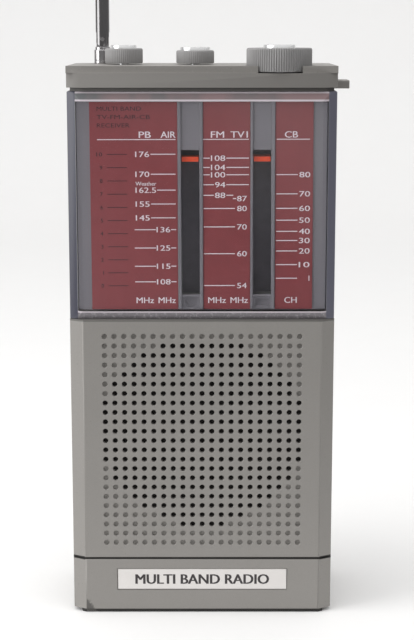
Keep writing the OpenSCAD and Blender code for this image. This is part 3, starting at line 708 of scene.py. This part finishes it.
def headings(ink):
    """Band names over a rule at the top of each panel, and units at its foot."""
    for text, x, width in HEADINGS:
        ink.words(text, x * MM, HEAD_Z, HEAD_H, "CENTER", width * MM, bold=0.015)
    for text, x, width in UNITS:
        ink.words(text, x * MM, FOOT_Z, UNIT_H, "CENTER", width * MM, bold=BOLD)
    for left, right in PANEL_RULES:
        ink.line(left * MM, right * MM, RULE_Z, RULE_H)


def log_scale(ink):
    """Dark logging scale and small lettering at the left."""
    for n in range(11):
        ink.words(str(n), -35.0 * MM, log_z(n), LOG_H, "RIGHT", 2.0 * MM, bold=0.01)
        ink.line(-33.4 * MM, -26.3 * MM, log_z(n), LOG_LINE_H)
    for row, (text, width) in enumerate(SMALL_LINES):
        ink.words(text, SMALL_X, SMALL_Z - row * SMALL_STEP, 1.45 * MM, width=width * MM)


def dial_print():
    """Numbers, band names and tick lines on the three panels."""
    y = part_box("scale_panels")[0].y - 0.04 * MM
    light, dark = Print("dial_numbers", y), Print("dial_log_scale", y)
    for panel in (left_panel, middle_panel, right_panel, headings):
        panel(light)
    log_scale(dark)
    body = BODY_OF["scale_panels"]
    light.done("maroon_print", body, printed("scale_ink", (0.86, 0.76, 0.78), 0.5, 0.03))
    dark.done("maroon_print", body, printed("log_ink", (0.045, 0.012, 0.018), 0.5, 0.03))


# Pointer slots: their middles, the grey frames round them, and their ends
SLOT_X = (-4.1 * MM, 21.2 * MM)
FRAME_SIDES = ((-8.5 * MM, 0.3 * MM), (17.1 * MM, 25.7 * MM))
SLOT_HALF, SLOT_Z0, SLOT_Z1 = 3.25 * MM, 119.0 * MM, 170.4 * MM
SILL_H = 0.8 * MM
FRAME_PROUD, SILL_PROUD = 0.75 * MM, 0.3 * MM
SHADE_HALF, SHADE_Y, SHADE_Z = 3.9 * MM, (-12.4 * MM, -12.2 * MM), (117 * MM, 173 * MM)


def slot_frames():
    """Raised grey frames round both pointer slots, and dark cards behind them as painted shade for the
    inside of the slots.
    """
    lo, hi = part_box("scale_panels")
    bm = bmesh.new()
    side_y, sill_y = hi.y - FRAME_PROUD, hi.y - SILL_PROUD
    for (x0, x1), sx in zip(FRAME_SIDES, SLOT_X):
        left, right = sx - SLOT_HALF, sx + SLOT_HALF
        box_mesh(bm, (x0, side_y, lo.z), (left, hi.y, hi.z))
        box_mesh(bm, (right, side_y, lo.z), (x1, hi.y, hi.z))
        box_mesh(bm, (left, sill_y, SLOT_Z1), (right, hi.y, hi.z))
        box_mesh(bm, (left, sill_y, SLOT_Z0 - SILL_H), (right, hi.y, SLOT_Z0))
    obj = finish_mesh(bm, "slot_frames")
    rounded(obj, 0.2 * MM, 2)
    dress(obj, "dial_silver", BODY_OF["dial_plate"])
    # Dark cards behind the slots, put there as painted shade for the dark inside of the slots.
    bm = bmesh.new()
    for x in SLOT_X:
        box_mesh(bm, (x - SHADE_HALF, SHADE_Y[0], SHADE_Z[0]), (x + SHADE_HALF, SHADE_Y[1], SHADE_Z[1]))
    dress(finish_mesh(bm, "slot_shades"), "black_cloth", BODY_OF["dial_plate"], mat=SHADOW_CARD)


def name_plate():
    """Generic lettering on the white plate at the foot."""
    refined("name_plate", 0.12 * MM, 2)
    lo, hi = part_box("name_plate")
    ink = Print("name_lettering", lo.y - 0.02 * MM)
    ink.words("MULTI BAND RADIO", 0.0, (lo.z + hi.z) / 2, 3.7 * MM, "CENTER", 49.0 * MM, bold=0.035)
    ink.done("white_label", BODY_OF["name_plate"], printed("label_ink", (0.035, 0.03, 0.032), 0.5))


# -------------------------------------------------------- knobs and antenna

def knob(node, disc_node, ribs, rib_depth):
    """A ribbed knob and its spun metal disc, on the CAD knob's axis and size."""
    lo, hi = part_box(node)
    c = (lo + hi) / 2
    r = (hi.x - lo.x) / 2
    d_lo, d_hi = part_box(disc_node)
    seat = (d_hi.x - d_lo.x) / 2
    soft = 0.35 * MM
    skirt = [(r - soft, lo.z, 0), (r, lo.z + soft, 1), (r, hi.z - 2 * soft, 1),
             (r - 0.25 * soft, hi.z - soft, 1)]
    crown = [(r - soft, hi.z - 0.2 * soft, 0), (r - 2 * soft, hi.z, 0), (seat + soft, hi.z, 0),
             (seat + 0.1 * MM, hi.z - 0.1 * MM, 0), (seat, hi.z - 0.5 * MM, 0)]
    body = BODY_OF[node]
    bm = bmesh.new()
    lathe(bm, skirt + crown, c, ribs * 6, ribs, rib_depth)
    dress(finish_mesh(bm, node + "_ribbed", 40.0), "knob_grey", body, node)
    edge = seat - 0.05 * MM
    side = [(edge, d_lo.z, 0), (edge, d_hi.z - 0.3 * MM, 0), (seat - 0.12 * MM, d_hi.z - 0.1 * MM, 0)]
    dished = [(seat - 0.35 * MM, d_hi.z, 0), (seat * 0.7, d_hi.z - 0.05 * MM, 0),
              (seat * 0.35, d_hi.z - 0.12 * MM, 0), (0.3 * MM, d_hi.z - 0.16 * MM, 0)]
    bm = bmesh.new()
    lathe(bm, side + dished, c, 96)
    spun = turned(disc_node + "_metal", (0.82, 0.82, 0.82), 0.25, (c.x, c.y))
    dress(finish_mesh(bm, disc_node + "_spun", 40.0), "bright_metal", body, disc_node, mat=spun)


def mast_section(node, inner_node):
    """A drawn tube with a waist and a turned-in mouth, bored for the section that slides in it."""
    lo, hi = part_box(node)
    c = (lo + hi) / 2
    r = (hi.x - lo.x) / 2
    inner_lo, inner_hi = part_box(inner_node)
    bore = (inner_hi.x - inner_lo.x) / 2 + 0.04 * MM
    waist = r - 0.05 * MM
    foot = [(bore, lo.z, 0), (r - 0.1 * MM, lo.z, 0), (r, lo.z + 0.15 * MM, 0), (r, hi.z - 2.4 * MM, 0)]
    neck = [(waist, hi.z - 2.2 * MM, 0), (waist, hi.z - 1.9 * MM, 0)]
    mouth = [(r, hi.z - 1.7 * MM, 0), (r, hi.z - 0.7 * MM, 0), (r - 0.12 * MM, hi.z - 0.2 * MM, 0),
             (bore, hi.z, 0)]
    bm = bmesh.new()
    lathe(bm, foot + neck + mouth, c, 40, hollow=True)
    dress(finish_mesh(bm, node + "_drawn", 40.0), "chrome", BODY_OF[node], node, mat=DARK_MAST_CHROME)


def antenna():
    refined("antenna_base", 0.15 * MM)
    refined("antenna_bush", 0.15 * MM)
    refined("antenna_pin", 0.1 * MM)
    refined("antenna_tube_1", 0.12 * MM, mat=DARK_MAST_CHROME)
    for node, inner_node in (("antenna_tube_2", "antenna_tube_3"), ("antenna_tube_3", "antenna_tube_4"),
                             ("antenna_tube_4", "antenna_rod")):
        mast_section(node, inner_node)
    refined("antenna_rod", 0.1 * MM, mat=DARK_MAST_CHROME)
    refined("antenna_tip", 0.5 * MM)


# ------------------------------------------------------- stage and lighting

# Name, place, aim, size and watts of each soft box
LIGHTS = (("key", (-0.9, -0.3, 0.3), (0.0, 0.0, 0.1), (0.6, 0.7), 5.5),
          ("pool", (0.0, -0.1, 0.9), (0.0, -0.08, 0.0), (0.6, 0.25), 1.5),
          ("wall", (0.0, 0.9, 1.4), (0.0, 1.5, 0.2), (2.0, 0.4), 2.8),
          ("low", (-0.25, -0.12, 0.5), (-0.03, -0.1, 0.0), (0.25, 0.12), 0.35))
SWEEP_FRONT, SWEEP_BACK, SWEEP_HALF = -1.5, 1.6, 3.0
SWEEP_RISE, SWEEP_RADIUS, SWEEP_STEPS = 1.6, 0.6, 12
PALE_FROM_Y, PALE_SOFT = -0.2, 0.01


def soft_box(name, at, aim, size, power):
    data = bpy.data.lights.new(name, "AREA")
    data.shape = "RECTANGLE"
    data.size, data.size_y = size
    data.energy = power
    obj = bpy.data.objects.new(name, data)
    bpy.context.collection.objects.link(obj)
    obj.location = at
    obj.rotation_euler = (Vector(aim) - Vector(at)).to_track_quat("-Z", "Y").to_euler()


def surroundings():
    """A world that is bright above and dark below."""
    world = bpy.data.worlds.new("studio")
    bpy.context.scene.world = world
    world.use_nodes = True
    tree = world.node_tree
    back = tree.nodes["Background"]
    back.inputs["Strength"].default_value = 0.93
    direction = tree.nodes.new("ShaderNodeTexCoord")
    split = tree.nodes.new("ShaderNodeSeparateXYZ")
    tree.links.new(direction.outputs["Generated"], split.inputs[0])
    ramp = tree.nodes.new("ShaderNodeMapRange")
    tree.links.new(split.outputs["Z"], ramp.inputs["Value"])
    for key, value in (("From Min", -0.15), ("From Max", 0.25), ("To Min", 0.0), ("To Max", 1.0)):
        ramp.inputs[key].default_value = value
    tree.links.new(ramp.outputs["Result"], back.inputs["Color"])


def sweep_paper():
    """Pale paper that turns dark a little way in front of the set, so that less light comes from below."""
    paper = moulded("sweep_paper", (0.86, 0.855, 0.85), 0.9, 0.01, 400.0, 0.02, Specular_IOR_Level=0.1)
    ahead = paper.step(paper.position("Y"), PALE_FROM_Y, PALE_SOFT, up=False)
    pale = paper.bsdf.inputs["Base Color"].links[0].from_socket
    paper.color(paper.mix(ahead, pale, (0.09, 0.09, 0.09)))
    return paper


def stage():
    """Paper sweep, bright surroundings and soft boxes."""
    surroundings()
    bend = SWEEP_BACK - SWEEP_RADIUS
    outline = [(SWEEP_FRONT, 0.0), (bend, 0.0)]
    for i in range(1, SWEEP_STEPS + 1):
        a = math.pi / 2 * i / SWEEP_STEPS
        outline.append((bend + SWEEP_RADIUS * math.sin(a), SWEEP_RADIUS * (1 - math.cos(a))))
    outline.append((SWEEP_BACK, SWEEP_RISE))
    bm = bmesh.new()
    rows = [[bm.verts.new((x, y, z)) for x in (-SWEEP_HALF, SWEEP_HALF)] for y, z in outline]
    for a, b in zip(rows, rows[1:]):
        bm.faces.new((a[0], a[1], b[1], b[0]))
    floor = finish_mesh(bm, "sweep", 80.0)
    floor.data.materials.append(sweep_paper().mat)
    for light in LIGHTS:
        soft_box(*light)


CAMERA_X, CAMERA_AWAY, CAMERA_Z = 0.00176, 0.5497, 0.2128
CAMERA_LENS, LOOKING_DOWN = 88.0, 10.586


def camera():
    """A long lens a little over half a metre away, level with the knobs and looking down."""
    data = bpy.data.cameras.new("camera")
    data.lens = CAMERA_LENS
    data.sensor_width = 36.0
    data.clip_start, data.clip_end = 0.01, 20.0
    obj = bpy.data.objects.new("camera", data)
    bpy.context.collection.objects.link(obj)
    obj.location = (CAMERA_X, FRONT_Y - CAMERA_AWAY, CAMERA_Z)
    obj.rotation_euler = (math.radians(90 - LOOKING_DOWN), 0.0, 0.0)
    bpy.context.scene.camera = obj


# ---------------------------------------------------------------- the build

# Outer nodes that keep their CAD shape, and the radius of their edges in mm
EDGE_ROUNDING = {"rear_shell": 0.4, "battery_door": 0.3, "dial_plate": 0.2, "scale_panels": 0.08,
                 "pointer": 0.15, "strap_lug": 0.4, "band_slider": 0.3, "phone_jack": 0.2,
                 "power_jack": 0.2, "case_screws": 0.15}


def inner_parts():
    """Gives every node that no piece stands for its material and lightly rounded edges."""
    for name, obj in NODES.items():
        if not obj.hide_render:
            obj.data.materials.clear()
            obj.data.materials.append(MATS[SLOT_OF[name]].mat)
            rounded(obj, 0.1 * MM, 2)


bpy.context.scene.view_settings.view_transform = "Standard"
camera()
stage()
front_shell()
dial_print()
slot_frames()
clear_dial_cover()
name_plate()
refined("top_cap", 0.45 * MM, 3, CAP_CASE)
knob("tuning_knob", "tuning_disc", 84, 0.3 * MM)
knob("volume_knob", "volume_disc", 60, 0.16 * MM)
knob("squelch_knob", "squelch_disc", 60, 0.16 * MM)
antenna()
for node, width in EDGE_ROUNDING.items():
    refined(node, width * MM)
inner_parts()
